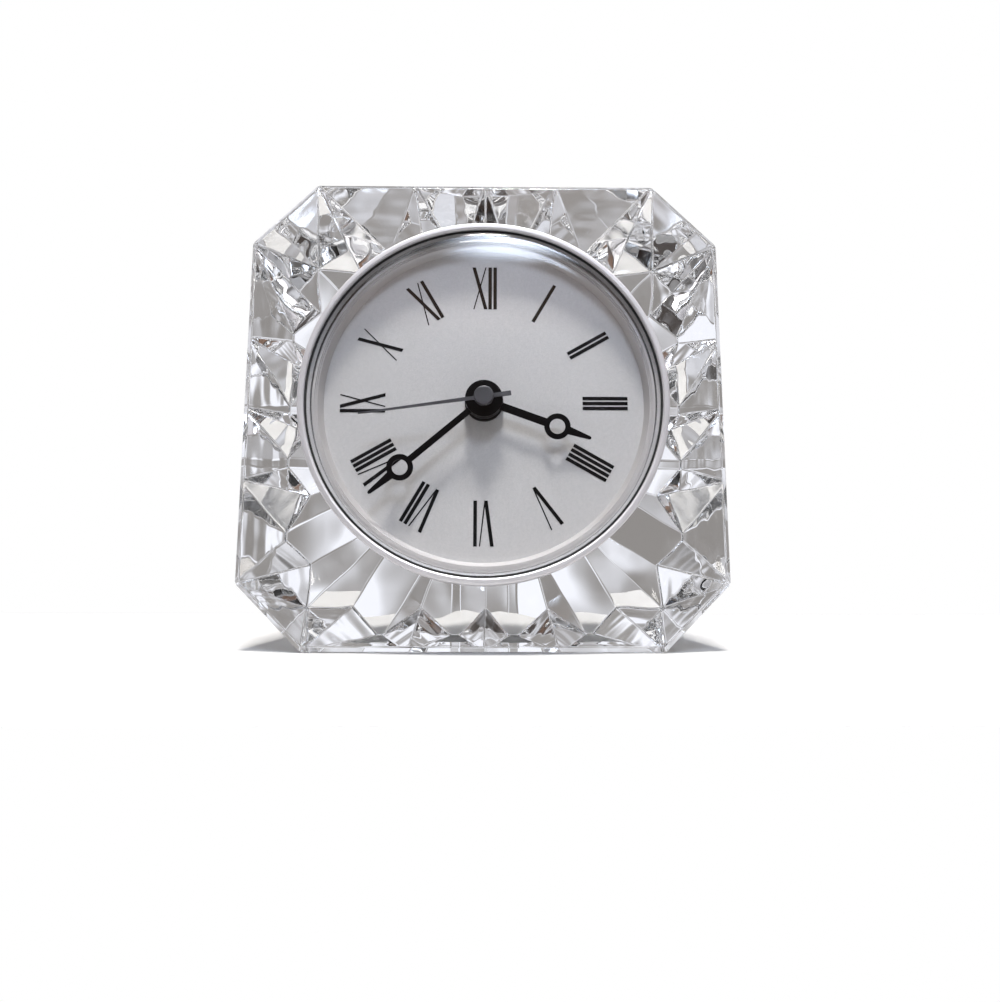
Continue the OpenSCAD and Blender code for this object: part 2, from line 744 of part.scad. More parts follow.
// Spring contact: a strip with two turns of a tapered coil
module contact_negative() {
    step = spring_h / spring_turns;
    color([0.78, 0.78, 0.76]) stand() {
        contact(-1);
        translate([-chamber_half + contact_t, -cell_drop, cell_z]) rotate([0, 90, 0])
            for (i = [0 : spring_turns - 1]) tube(spring_out - spring_wire * i,
                spring_out - spring_wire * (i + 1), step * i, step * (i + 1), medium);
    }
}

// Straight-sided teeth, thin enough to run free in their mates
module gear_outline(n, m) {
    pitch = 360 / n;
    root = n * m / 2 - 1.15 * m;
    tip = n * m / 2 + 0.8 * m;
    foot_turn = 0.3 * pitch;
    tip_turn = 0.09 * pitch;
    polygon([for (i = [0 : n - 1]) each [
        polar(root, pitch * i - foot_turn), polar(tip, pitch * i - tip_turn),
        polar(tip, pitch * i + tip_turn), polar(root, pitch * i + foot_turn)]]);
}

module wheel(n, m, z0, thick, turn, hole = 0) {
    translate([0, 0, z0]) rotate([0, 0, turn]) difference() {
        linear_extrude(height = thick) gear_outline(n, m);
        if (hole > 0) rod(hole, -past, thick + past);
    }
}

// Pinion, a little taller at each end than the wheel of thickness thick that it drives
module pinion(n, m, z0, thick, turn = 0) {
    wheel(n, m, z0 - pinion_over, thick + 2 * pinion_over, turn);
}

// Wheel of twelve hours on the pipe that carries the hour hand
module hour_wheel() {
    color([0.9, 0.88, 0.82]) stand() difference() {
        union() {
            wheel(hour_n, hour_m, hour_wheel_z, motion_t, hour_wheel_turn);
            rod(hour_pipe_d / 2, hour_wheel_z, hour_top);
        }
        rod(minute_arbor_d / 2 + run_gap, hour_wheel_z - past, hour_top + past);
    }
}

// Flat hand with an open ring, a straight shaft and a tapered tip
module hand_outline(len_tip, ring_at, shaft_w) {
    wedge_w = 1.9;
    wedge_from = ring_at + hand_ring_d / 2 - 0.3;
    tip_w = 0.8;
    difference() {
        union() {
            translate([-shaft_w / 2, 0]) square([shaft_w, ring_at]);
            translate([0, ring_at]) circle(d = hand_ring_d, $fn = medium);
            polygon([[-wedge_w / 2, wedge_from], [-tip_w / 2, len_tip - tip_w / 2],
                [-tip_w / 4, len_tip], [tip_w / 4, len_tip], [tip_w / 2, len_tip - tip_w / 2],
                [wedge_w / 2, wedge_from]]);
        }
        translate([0, ring_at]) circle(d = hand_ring_hole, $fn = medium);
    }
}

module hand(z0, hub_h, hole_d, angle, len_tip, ring_at, shaft_w) {
    rotate([0, 0, -angle]) difference() {
        union() {
            rod(hub_d / 2, z0, z0 + hub_h);
            translate([0, 0, z0 + hub_h / 2]) linear_extrude(height = hand_t)
                hand_outline(len_tip, ring_at, shaft_w);
        }
        rod(hole_d / 2, z0 - past, z0 + hub_h + past);
    }
}

module hour_hand() {
    color([0.03, 0.03, 0.05]) stand() hand(hour_hub_z, hour_hub_h, hour_pipe_d, hour_at,
        hour_len, hour_ring_at, hour_shaft_w);
}

module minute_hand() {
    color([0.03, 0.03, 0.05]) stand() hand(minute_hub_z, minute_hub_h, minute_arbor_d, minute_at,
        minute_len, minute_ring_at, minute_shaft_w);
}

// Minute arbor with the pinion that drives the minute wheel
module cannon_pinion() {
    color([0.8, 0.8, 0.78]) stand() difference() {
        union() {
            rod(minute_arbor_d / 2, minute_wheel_z + motion_t + pinion_over, minute_top);
            pinion(cannon_n, motion_m, minute_wheel_z, motion_t);
            rod(clutch_r, centre_wheel_z - end_gap, minute_wheel_z);
        }
        rod(second_arbor_d / 2 + run_gap, centre_wheel_z - past, minute_top + past);
    }
}

// Thin tapered second hand with a short tail
module second_hand() {
    tip_w = 0.35;
    tail_w = second_w + 0.2;
    hub_r = second_arbor_d / 2 + 0.4;
    color([0.42, 0.42, 0.44]) stand() rotate([0, 0, -second_at]) difference() {
        union() {
            rod(hub_r, second_hub_z, cap_z);
            translate([0, 0, second_plate_z]) linear_extrude(height = hand_t)
                polygon([[-tail_w / 2, -second_tail], [tail_w / 2, -second_tail],
                    [second_w / 2, 0], [tip_w / 2, second_len], [-tip_w / 2, second_len],
                    [-second_w / 2, 0]]);
        }
        rod(second_arbor_d / 2, second_hub_z - past, cap_z + past);
    }
}

module second_cap() {
    edge = 0.3;
    color([0.45, 0.45, 0.48]) stand() rotate_extrude($fn = medium) polygon(concat(
        [[0, cap_z], [cap_d / 2, cap_z]],
        arc([cap_d / 2 - edge, cap_z + cap_h - edge], edge, 0, 90, 5), [[0, cap_z + cap_h]]));
}

// Seconds wheel, its pinion and the arbor that carries the second hand
module seconds_wheel() {
    color([0.85, 0.84, 0.8]) stand() {
        rod(second_arbor_d / 2, pivot_back + end_gap, cap_z);
        wheel(seconds_n, train_m, seconds_wheel_z, wheel_t, 0);
        pinion(seconds_pinion_n, train_m, third_wheel_z, wheel_t);
    }
}

// Ring magnet of the stepping motor
module rotor_magnet() {
    color([0.3, 0.3, 0.31]) stand() at(rotor_at, 0)
        tube(magnet_r, arbor_d, magnet_z, magnet_z + magnet_h, medium);
}

// Arbor and pinion that the magnet turns
module rotor_pinion() {
    color([0.9, 0.88, 0.82]) stand() at(rotor_at, 0) {
        rod(arbor_d / 2, pivot_back + end_gap, bridge_z + bridge_t / 2 - end_gap);
        rod(arbor_d, magnet_z, intermediate_z - pinion_over);
        pinion(rotor_n, train_m, intermediate_z, wheel_t, rotor_turn);
    }
}

module intermediate_wheel() {
    color([0.9, 0.88, 0.82]) stand() at(intermediate_at, 0) {
        rod(arbor_d / 2, pivot_back + end_gap, bridge_z + bridge_t / 2 - end_gap);
        wheel(intermediate_n, train_m, intermediate_z, wheel_t, 0);
        pinion(intermediate_pinion_n, train_m, seconds_wheel_z, wheel_t, intermediate_turn);
    }
}

module third_wheel() {
    color([0.9, 0.88, 0.82]) stand() at(third_at, 0) {
        rod(arbor_d / 2, pivot_back + end_gap, plate_z + plate_t / 2 - end_gap);
        wheel(third_n, train_m, third_wheel_z, wheel_t, third_turn);
        pinion(third_pinion_n, centre_m, centre_wheel_z, motion_t);
    }
}

// Wheel that drives the minute arbor through a slipping clutch
module centre_wheel() {
    color([0.9, 0.88, 0.82]) stand()
        wheel(centre_n, centre_m, centre_wheel_z, motion_t, centre_turn,
            clutch_r + run_gap);
}

// Minute wheel, its pinion and the arbor that runs back to the setting knob
module minute_wheel() {
    color([0.9, 0.88, 0.82]) stand() at(setting_at, 0) {
        rod(arbor_d / 2, hour_wheel_z, plate_z + plate_t / 2 - end_gap);
        rod(arbor_d, case_back - knob_gap - stem_in, plate_z - end_gap);
        wheel(minute_n, motion_m, minute_wheel_z, motion_t, minute_wheel_turn);
        pinion(minute_pinion_n, hour_m, hour_wheel_z, motion_t);
    }
}

// Fluted knob behind the movement
module setting_knob() {
    grips = 18;
    grip_r = 0.5;
    grip_at = [knob_d / 2 + 0.15, 0];
    knob_top = case_back - knob_gap;
    color([0.75, 0.74, 0.72]) stand() at(setting_at, 0) difference() {
        rod(knob_d / 2, knob_top - knob_h, knob_top);
        rod(arbor_d, knob_top - stem_in, case_back);
        for (i = [0 : grips - 1]) rotate([0, 0, 360 / grips * i])
            at(grip_at, 0) rod(grip_r, knob_top - knob_h - past, knob_top + past, coarse);
    }
}

module along_cell() {
    translate([cell_start, -cell_drop, cell_z]) rotate([0, 90, 0]) children();
}

// Plain jacket of the cell
module cell_jacket() {
    lip = 0.6;
    color([0.25, 0.3, 0.38]) stand() along_cell() rotate_extrude($fn = medium)
        polygon([[0, 0], [cell_r - lip, 0], [cell_r, lip], [cell_r, cell_len - lip],
            [cell_r - lip, cell_len], [0, cell_len]]);
}

// Positive nub of the cell
module cell_terminals() {
    color([0.78, 0.78, 0.78]) stand() along_cell() rod(nub_r, cell_len, cell_len + nub_len);
}

crystal_block();
bezel();
lens_seal();
lens();
reflector_ring();
dial();
numerals();
dial_washer();
dial_nut();
centre_bush();
insert_cup();
bore_band();
movement_plate();
movement_case();
bridge_plate();
stator();
coil_core();
coil_bobbin();
coil_winding();
circuit_board();
timing_chip();
resonator_can();
contact_positive();
contact_negative();
hour_hand();
hour_wheel();
minute_hand();
cannon_pinion();
second_hand();
second_cap();
seconds_wheel();
rotor_magnet();
rotor_pinion();
intermediate_wheel();
third_wheel();
centre_wheel();
minute_wheel();
setting_knob();
cell_jacket();
cell_terminals();
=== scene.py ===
# %% [markdown]
# # Crystal mantel clock
# The clock is a square block of cut lead crystal that leans back a little, with a round
# clock insert pushed into a bore through its middle. The solid parts come in ready made,
# at their real size. This script gives each its finish, remakes the block with the rounded
# edges that catch the light, and sets up the light and the camera.

# %% Load the parts
import json
import math

import bmesh
import bpy
from mathutils import Matrix, Vector


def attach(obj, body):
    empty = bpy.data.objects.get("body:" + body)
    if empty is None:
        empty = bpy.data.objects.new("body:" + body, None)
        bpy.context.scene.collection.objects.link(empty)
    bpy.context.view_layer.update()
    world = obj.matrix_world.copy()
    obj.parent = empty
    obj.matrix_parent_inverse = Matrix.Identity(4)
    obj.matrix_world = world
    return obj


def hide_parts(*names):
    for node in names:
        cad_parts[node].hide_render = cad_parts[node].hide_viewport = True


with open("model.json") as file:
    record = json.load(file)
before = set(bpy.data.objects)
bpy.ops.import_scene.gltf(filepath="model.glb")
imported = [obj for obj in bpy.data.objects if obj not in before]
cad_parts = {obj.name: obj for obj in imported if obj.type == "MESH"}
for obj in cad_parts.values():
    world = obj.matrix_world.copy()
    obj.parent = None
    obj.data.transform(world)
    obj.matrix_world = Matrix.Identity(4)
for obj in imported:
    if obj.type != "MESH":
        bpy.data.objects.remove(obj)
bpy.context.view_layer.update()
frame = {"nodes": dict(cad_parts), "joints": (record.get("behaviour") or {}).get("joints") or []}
MM = 0.001

# %% [markdown]
# ## The plane of the dial
# Everything round on this clock shares one axis, that of the hands, and it leans with the
# block. Typing its angle in would put it in two places, so it is read from the minute hand's
# joint. One matrix then places the pattern of every turned ring, and the camera too: x to
# the right, y up the face, z out of the dial, with its origin on the block's front face.

# %% The face's matrix
minute_joint = next(j for j in frame["joints"] if j["name"] == "minute_turn")
outward = -Vector(minute_joint["axis"]).normalized()
right = Vector((1, 0, 0))
up_the_face = outward.cross(right)
face = Matrix((right, up_the_face, outward)).transposed().to_4x4()
face.translation = Vector(minute_joint["pos_m"])
print("the face leans back by", round(math.degrees(math.asin(outward.z)), 2), "degrees")

# %% [markdown]
# ## Colours and nodes
# A colour picker gives sRGB hex values, while the renderer works in linear light, so `colour`
# turns one into the other. A material is a small tree of nodes, and `put` adds one node with
# its settings and links: an input is a plain value, an output, or a whole node, whose first
# working output is then meant, and `feeds` is the input that the new node leads on to.
# Blender's Mix node has many inputs of one name, so it is wired by number: 0 is the factor,
# 6 and 7 are the two colours.


# %% Colour and node
def colour(hex_text):
    channels = [int(hex_text[i:i + 2], 16) / 255 for i in (0, 2, 4)]
    return (*[c / 12.92 if c <= 0.04045 else ((c + 0.055) / 1.055) ** 2.4 for c in channels], 1)


def put(tree, kind, inputs=(), feeds=None, **settings):
    made = tree.nodes.new(kind)
    for name, value in settings.items():
        setattr(made, name, value)
    for name, value in dict(inputs).items():
        if isinstance(value, bpy.types.Node):
            value = next(output for output in value.outputs if output.enabled)
        if isinstance(value, bpy.types.NodeSocket):
            tree.links.new(value, made.inputs[name])
        else:
            made.inputs[name].default_value = value
    if feeds:
        tree.links.new(next(output for output in made.outputs if output.enabled), feeds)
    return made


print("mid grey in linear light is", round(colour("808080")[0], 3))

# %% [markdown]
# ## Patterns at their real size
# A picture wrapped round a part has to be unwrapped and blurs close up, so the patterns here
# are worked out from each point's place instead. Object coordinates are metres, so a
# pattern's scale is one over its real width, which is what `per_mm` gives. `on_face` turns
# the coordinates into the plane of the dial, where the marks of a lathe are plain circles
# round the origin.


# %% Places and scales
def on_face(tree):
    place = put(tree, "ShaderNodeTexCoord")
    return put(tree, "ShaderNodeMapping", {"Vector": place.outputs["Object"], "Location": face.translation,
                                           "Rotation": face.to_euler()}, vector_type="TEXTURE")


def per_mm(width_mm):
    return 1 / (width_mm * MM)


print("a pattern 1 mm wide has the scale", round(per_mm(1)))

# %% [markdown]
# ## Finishes
# A finish starts from the real material's colour and shine. No real surface is quite even,
# so it may add three things, each from noise: a relief `grain_mm` wide and `depth_mm` deep,
# a haze of patches `haze_mm` wide whose roughness runs between the two `dull` values, and
# flecks `fleck_mm` wide that run from one tint to another. The detail values say how much
# finer noise lies over the coarse one. Real grain is mostly finer than the render can show,
# so it is drawn a few tenths of a millimetre wide.


# %% Finish
def opened(material):
    return material.node_tree, material.node_tree.nodes["Principled BSDF"]


def finish(name, base, grain_mm=0, depth_mm=0, grain_detail=2.0, haze_mm=0, dull=(0, 0), haze_detail=3.0,
           fleck_mm=0, flecks=("", ""), fleck_detail=3.0, **sockets):
    material = bpy.data.materials.new(name)
    material.use_nodes = True
    tree, shader = opened(material)
    shader.inputs["Base Color"].default_value = colour(base)
    for socket, value in sockets.items():
        shader.inputs[socket.replace("_", " ")].default_value = value
    if grain_mm:
        bumps = put(tree, "ShaderNodeTexNoise", {"Vector": on_face(tree), "Scale": per_mm(grain_mm),
                                                 "Detail": grain_detail})
        put(tree, "ShaderNodeBump", {"Height": bumps, "Distance": depth_mm * MM, "Strength": 1.0},
            feeds=shader.inputs["Normal"])
    if haze_mm:
        haze = put(tree, "ShaderNodeTexNoise", {"Vector": on_face(tree), "Scale": per_mm(haze_mm),
                                                "Detail": haze_detail})
        put(tree, "ShaderNodeMapRange", {"Value": haze, "To Min": dull[0], "To Max": dull[1]},
            feeds=shader.inputs["Roughness"])
    if fleck_mm:
        specks = put(tree, "ShaderNodeTexNoise", {"Vector": on_face(tree), "Scale": per_mm(fleck_mm),
                                                  "Detail": fleck_detail})
        all_dark, all_light = 0.35, 0.65
        share = put(tree, "ShaderNodeMapRange", {"Value": specks, "From Min": all_dark,
                                                 "From Max": all_light})
        put(tree, "ShaderNodeMix", {0: share, 6: colour(flecks[0]), 7: colour(flecks[1])},
            feeds=shader.inputs["Base Color"], data_type="RGBA")
    return material


print(len(frame["nodes"]), "parts wait for a finish")

# %% [markdown]
# ## Lead crystal, pressed, cut and polished
# Full lead crystal bends light more than window glass: its index is 1.545. The faces were
# pressed hot and then polished in acid, which leaves them clear but slightly wavy, and that
# waviness is what makes the patches of light inside the block look liquid. Moving the points
# of the faces could give it too, but would take a great many of them. A relief a quarter of
# a millimetre deep and about a centimetre wide bends the light in the same way.

# %% Crystal
crystal = finish("lead_crystal_acid_polished", "F0F1F2", grain_mm=9, depth_mm=0.24, grain_detail=0.0,
                 Transmission_Weight=1.0, Roughness=0.0, IOR=1.545)
print(crystal.name, "is a tree of", len(crystal.node_tree.nodes), "nodes")

# %% [markdown]
# ## Making a piece
# Most parts only need a finish. A part that needs finer edges or rounder curves than it came
# with gets a new piece in its place. Its points are gathered first, every edge flatter than
# a crease is shaded smooth, and `seat` then makes the piece: it rides on the body that the
# part belongs to, and stands in for that part.


# %% Piece
def shade(points, crease):
    for polygon in points.faces:
        polygon.smooth = True
    for edge in points.edges:
        edge.smooth = edge.calc_face_angle(0) < math.radians(crease)


def seat(name, points, material, body, node):
    mesh = bpy.data.meshes.new(name)
    points.to_mesh(mesh)
    points.free()
    mesh.materials.append(material)
    piece = bpy.data.objects.new(name, mesh)
    bpy.context.scene.collection.objects.link(piece)
    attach(piece, body)
    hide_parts(node)
    print(name, "has", len(mesh.polygons), "faces of", material.name)
    return piece


print("the block came in with", len(frame["nodes"]["crystal_block"].data.polygons), "triangles")

# %% [markdown]
# ## The block with its edges eased
# The part that came in has dead sharp edges. On the real block every edge is eased by a few
# tenths of a millimetre, and each one draws a fine bright or dark line. To cut them one by
# one would be slow, so a copy's triangles are joined into the real faces, and a bevel
# modifier rounds every edge where two faces meet at nine degrees or more. The bore stays
# round, because its facets meet at less.

# %% Block
eased_mm = 0.4
corner_degrees = 9.0
flat_degrees = 0.4
weld_mm = 0.002

points = bmesh.new()
points.from_mesh(frame["nodes"]["crystal_block"].data)
bmesh.ops.remove_doubles(points, verts=points.verts, dist=weld_mm * MM)
bmesh.ops.dissolve_limit(points, angle_limit=math.radians(flat_degrees), verts=points.verts,
                         edges=points.edges)
shade(points, corner_degrees)
block = seat("cut_crystal_block", points, crystal, "block", "crystal_block")
easing = block.modifiers.new("easing", "BEVEL")
easing.width = eased_mm * MM
easing.segments = 3
easing.limit_method = "ANGLE"
easing.angle_limit = math.radians(corner_degrees)
easing.harden_normals = True

# %% [markdown]
# ## Silver-anodised aluminium
# The bezel is turned from aluminium and anodised satin silver, which scatters so much of the
# light that it looks half like metal and half like paint. The lathe's rings could be real
# grooves, but they are finer than the render can show. So the sine of the distance from the
# axis draws them as a very shallow relief, a quarter of a millimetre apart. `dress` then
# puts the finish on the part.


# %% Bezel
def dress(material, *names):
    for name in names:
        slots = frame["nodes"][name].data.materials
        slots.clear()
        slots.append(material)
    print(material.name, "on", ", ".join(names))


anodised = finish("satin_anodised_aluminium", "DAD8DB", haze_mm=6, dull=(0.42, 0.54), Metallic=0.65,
                  Roughness=0.48)
ring_mm = 0.25
ring_depth_mm = 0.004
tree, shader = opened(anodised)
flat = put(tree, "ShaderNodeVectorMath", {0: on_face(tree), 1: (1, 1, 0)}, operation="MULTIPLY")
from_axis = put(tree, "ShaderNodeVectorMath", {0: flat}, operation="LENGTH")
phase = put(tree, "ShaderNodeMath", {0: from_axis, 1: 2 * math.pi * per_mm(ring_mm)}, operation="MULTIPLY")
rings = put(tree, "ShaderNodeMath", {0: phase}, operation="SINE")
put(tree, "ShaderNodeBump", {"Height": rings, "Distance": ring_depth_mm * MM, "Strength": 1.0},
    feeds=shader.inputs["Normal"])
dress(anodised, "bezel")

# %% [markdown]
# ## Turned rings
# The lens and its seal are round all the way, so each is remade from the outline of its
# section, turned about the hands' axis. A lathe modifier would do that too, but only about
# an axis of the object's own. `turned` takes the outline as pairs of radius and height above
# the block's face, `arc` gives the points of a rounded stretch, and `span` measures how far
# a part that came in reaches. An outline that starts and ends on the axis needs no closing.


# %% Turning
def turned(name, outline_mm, material, node, sides=256, crease=35, weld_mm=0.0005):
    points = bmesh.new()
    turns = []
    for k in range(sides):
        spin = Matrix.Rotation(2 * math.pi * k / sides, 4, "Z")
        turns.append([points.verts.new(face @ spin @ (Vector((r, 0, z)) * MM)) for r, z in outline_mm])
    closed = 0 < min(r for r, z in outline_mm)
    for k in range(sides):
        here, beside = turns[k], turns[(k + 1) % sides]
        for i in range(len(outline_mm) if closed else len(outline_mm) - 1):
            j = (i + 1) % len(outline_mm)
            points.faces.new((here[i], beside[i], beside[j], here[j]))
    bmesh.ops.remove_doubles(points, verts=points.verts, dist=weld_mm * MM)
    bmesh.ops.recalc_face_normals(points, faces=points.faces)
    shade(points, crease)
    return seat(name, points, material, "insert", node)


def arc(middle, radii, start, stop, steps):
    return [(middle[0] + radii[0] * math.cos(math.radians(start + (stop - start) * i / steps)),
             middle[1] + radii[1] * math.sin(math.radians(start + (stop - start) * i / steps)))
            for i in range(steps + 1)]


def span(name):
    places = [face.inverted() @ v.co / MM for v in frame["nodes"][name].data.vertices]
    radii = [math.hypot(p.x, p.y) for p in places]
    heights = [p.z for p in places]
    return min(radii), max(radii), min(heights), max(heights)


lens_out, lens_low, lens_top = span("lens")[1:]
print("lens: radius", round(lens_out, 2), "from", round(lens_low, 2), "to", round(lens_top, 2), "mm")

# %% [markdown]
# ## Clear acrylic
# The lens is injection-moulded acrylic, index 1.49, so it mirrors less than glass. Years of
# dusting left faint hairlines, long and thin, so the noise that draws them is stretched. Its
# lower half falls below nought and counts as none, which leaves half of the lens quite
# clear. The lens lets lamps' rays straight through, or the dial behind it would be lit by
# chance hits alone and come out speckled.

# %% Acrylic
acrylic = finish("moulded_acrylic", "FCFDFF", grain_mm=14, depth_mm=0.02, grain_detail=1.0,
                 Transmission_Weight=1.0, Roughness=0.0, IOR=1.49)
tree, shader = opened(acrylic)
hairline_mm = 0.5
hairline_stretch = (1, 0.08, 1)
dullest = 0.03
drawn_out = put(tree, "ShaderNodeMapping", {"Vector": on_face(tree), "Scale": hairline_stretch})
hairlines = put(tree, "ShaderNodeTexNoise", {"Vector": drawn_out, "Scale": per_mm(hairline_mm),
                                             "Detail": 3.0})
put(tree, "ShaderNodeMapRange", {"Value": hairlines, "To Min": -dullest, "To Max": dullest},
    feeds=shader.inputs["Roughness"])

ray = put(tree, "ShaderNodeLightPath")
lamp_or_soft = put(tree, "ShaderNodeMath", {0: ray.outputs["Is Shadow Ray"],
                                            1: ray.outputs["Is Diffuse Ray"]}, operation="MAXIMUM")
clear = put(tree, "ShaderNodeBsdfTransparent", {"Color": colour("F4F5F6")})
put(tree, "ShaderNodeMixShader", {0: lamp_or_soft, 1: shader, 2: clear},
    feeds=tree.nodes["Material Output"].inputs["Surface"])
print(acrylic.name, "is a tree of", len(tree.nodes), "nodes")

# %% [markdown]
# ## The domed lens
# A shallow dome runs into a rounded shoulder and a short straight rim, all with a wall of
# about a millimetre. The shoulder is what draws the bright ring next to the seal. The dome's
# radius follows from how high it rises over the width between the shoulders. The new piece is
# a hundredth of a millimetre smaller than its room, because light can't tell which of two
# touching surfaces comes first.

# %% Lens
slack = 0.01
wall = 1.1
rim_height = 0.8
shoulder = (1.8, 1.53)
under_steps = 14
shoulder_steps = 10
dome_steps = 24

edge_r = lens_out - slack - shoulder[0]
edge_z = lens_low + slack + rim_height
rise = lens_top - edge_z - shoulder[1]
dome = (edge_r ** 2 + rise ** 2) / (2 * rise)
tilt = math.degrees(math.asin(edge_r / dome))
under_tilt = math.degrees(math.asin((edge_r - wall / 2) / (dome - wall)))
lens_outline = ([(0, lens_top - wall)]
                + arc((0, lens_top - dome), (dome - wall, dome - wall), 90, 90 - under_tilt,
                      under_steps)[1:]
                + [(lens_out - slack - wall, edge_z), (lens_out - slack - wall, lens_low + slack)]
                + [(lens_out - slack, lens_low + slack)]
                + arc((edge_r, edge_z), shoulder, 0, 90 - tilt, shoulder_steps)
                + arc((0, lens_top - dome), (dome, dome), 90 - tilt, 90, dome_steps)[1:])
turned("domed_lens", lens_outline, acrylic, "lens")
print("the dome's radius is", round(dome, 1), "mm")

# %% [markdown]
# ## Reflector ring and dial
# Under the lens a moulded styrene ring is metallised silver, so that it brightens the edge
# of the dial. The dial itself is aluminium sheet sprayed with a fine silver lacquer. Its
# flakes are drawn about a third of a millimetre wide, coarser than they are, and give it a
# soft, slightly pearly shine, a little like metal but more like paint.

# %% Silvered parts
silvered = finish("metallised_styrene", "C4C0BE", haze_mm=3, dull=(0.4, 0.52), haze_detail=2.0,
                  Metallic=0.4, Roughness=0.45)
dress(silvered, "reflector_ring")

lacquer = finish("silver_lacquered_aluminium", "D1CFD0", grain_mm=0.2, depth_mm=0.004, haze_mm=8,
                 dull=(0.4, 0.48), haze_detail=2.0, fleck_mm=0.35, flecks=("CCCAC8", "D6D3D1"),
                 Metallic=0.15, Roughness=0.42)
dress(lacquer, "dial")

# %% [markdown]
# ## Printed numerals and enamelled hands
# The numerals are screen-printed in a flat black ink. The hour and minute hands are stamped
# sheet, stove-enamelled black, which is glossier than ink. Both hold so much soot that they
# shine less than clear varnish would, so their specular level is low. The second hand and
# its cap have a satin grey lacquer. The washer and nut round the hands are steel, blackened
# in a hot salt bath, which makes them the darkest and flattest of all. A plain black would
# look cut out of paper, so each has a relief of a few thousandths of a millimetre: the mesh
# of the screen in the ink, a faint ripple in the enamel.

# %% Numerals and hands
ink = finish("screen_printed_ink", "020204", grain_mm=0.12, depth_mm=0.004, Roughness=0.7,
             Specular_IOR_Level=0.1)
dress(ink, "numerals")

enamel = finish("black_stove_enamel", "010103", grain_mm=0.5, depth_mm=0.003, Roughness=0.3,
                Specular_IOR_Level=0.15)
dress(enamel, "hour_hand", "minute_hand")

oxide = finish("blackened_steel", "020202", grain_mm=0.3, depth_mm=0.004, Roughness=0.7,
               Specular_IOR_Level=0.2)
dress(oxide, "dial_washer", "dial_nut")

grey_lacquer = finish("satin_grey_lacquer", "4A494C", grain_mm=0.25, depth_mm=0.003, Metallic=0.2,
                      Roughness=0.4)
dress(grey_lacquer, "second_hand", "second_cap")

# %% [markdown]
# ## Rubber
# The seal and the band that grips the bore are black nitrile rubber, matt and faintly dusty.
# The seal was pressed in soft, so a bead of it stands up between the lens's shoulder and the
# bezel: it is the dark line round the lens. Its outline follows the shoulder's own arc, so
# that no gap shows between the two.

# %% Band and seal
rubber = finish("moulded_nitrile_rubber", "151515", grain_mm=0.3, depth_mm=0.02, fleck_mm=2.5,
                flecks=("121212", "242423"), fleck_detail=4.0, Roughness=0.75)
dress(rubber, "bore_band")

seal_in, seal_out, seal_low = span("lens_seal")[:3]
bead_angle = 24
bead_steps = 6
bead_top = edge_z + shoulder[1] * math.sin(math.radians(bead_angle))
seal_outline = ([(seal_in + slack, seal_low + slack), (seal_out - slack, seal_low + slack),
                 (seal_out - slack, bead_top)]
                + arc((edge_r, edge_z), [s + 2 * slack for s in shoulder], bead_angle, 0, bead_steps))
turned("beaded_seal", seal_outline, rubber, "lens_seal")

# %% [markdown]
# ## Spark-textured ABS
# The cup and the movement's case are moulded from ABS in a mould that sparks have pitted all
# over. The pits leave a fine even grain, which hides finger marks and dulls the shine. They
# are finer than the render can show, so they are drawn a quarter of a millimetre wide.

# %% Cup and case
spark_textured = finish("spark_textured_abs", "1B1B1C", grain_mm=0.25, depth_mm=0.03, haze_mm=5,
                        dull=(0.42, 0.58), Roughness=0.5)
dress(spark_textured, "insert_cup", "movement_case", "movement_plate")

# %% [markdown]
# ## Metals inside the movement
# Nickel plate is a warm bright silver, soft iron blanked from sheet a dull grey, brass from
# the lathe a satin gold, and the rotor's magnet is sintered ferrite, as grey as slate. They
# differ only in colour, in shine and in how fine their grain is, so one loop finishes them
# all. The coil is copper wire 0.04 mm thick, and its clear enamel makes it a glossy red
# brown. Each turn could be a real ring, but stripes of relief are enough, drawn 0.3 mm wide,
# or they wouldn't show. Blender's wave pattern repeats twenty times in two pi units, which
# its scale has to make up for.

# %% Metals
shinier = 0.06
duller = 0.1
for name, base, rough, grain_mm, nodes in (
        ("nickel_plated_steel", "C9C6BE", 0.28, 0.4, ("contact_positive", "contact_negative",
                                                      "cell_terminals", "resonator_can")),
        ("blanked_soft_iron", "8F8D88", 0.42, 0.5, ("stator", "coil_core", "bridge_plate",
                                                    "cannon_pinion")),
        ("turned_brass", "C7A255", 0.3, 0.3, ("centre_bush",)),
        ("sintered_ferrite", "3A3A3D", 0.55, 0.25, ("rotor_magnet",))):
    metal = finish(name, base, grain_mm=grain_mm, depth_mm=0.004, grain_detail=3.0, haze_mm=2,
                   dull=(rough - shinier, rough + duller), Metallic=1.0, Roughness=rough)
    dress(metal, *nodes)

copper = finish("enamelled_copper_wire", "B4592F", Metallic=1.0, Roughness=0.3, Coat_Weight=0.5)
tree, shader = opened(copper)
wire_mm = 0.3
wire_depth_mm = 0.05
wave_repeats = 20
wires = put(tree, "ShaderNodeTexWave", {"Vector": on_face(tree),
                                        "Scale": 2 * math.pi / wave_repeats * per_mm(wire_mm)},
            bands_direction="Y")
put(tree, "ShaderNodeBump", {"Height": wires.outputs["Fac"], "Distance": wire_depth_mm * MM,
                             "Strength": 1.0}, feeds=shader.inputs["Normal"])
dress(copper, "coil_winding")

# %% [markdown]
# ## Plastics and laminate inside the movement
# The wheels are moulded from acetal, a waxy white plastic that lets a little light in: that
# is what the subsurface weight gives. The bobbin is creamy nylon, the knob pale polished
# ABS, the board a laminate under green solder mask, the chip a shiny blob of black epoxy,
# and the cell has a dark blue printed sleeve. They too differ only in a few values, so one
# more loop finishes them.

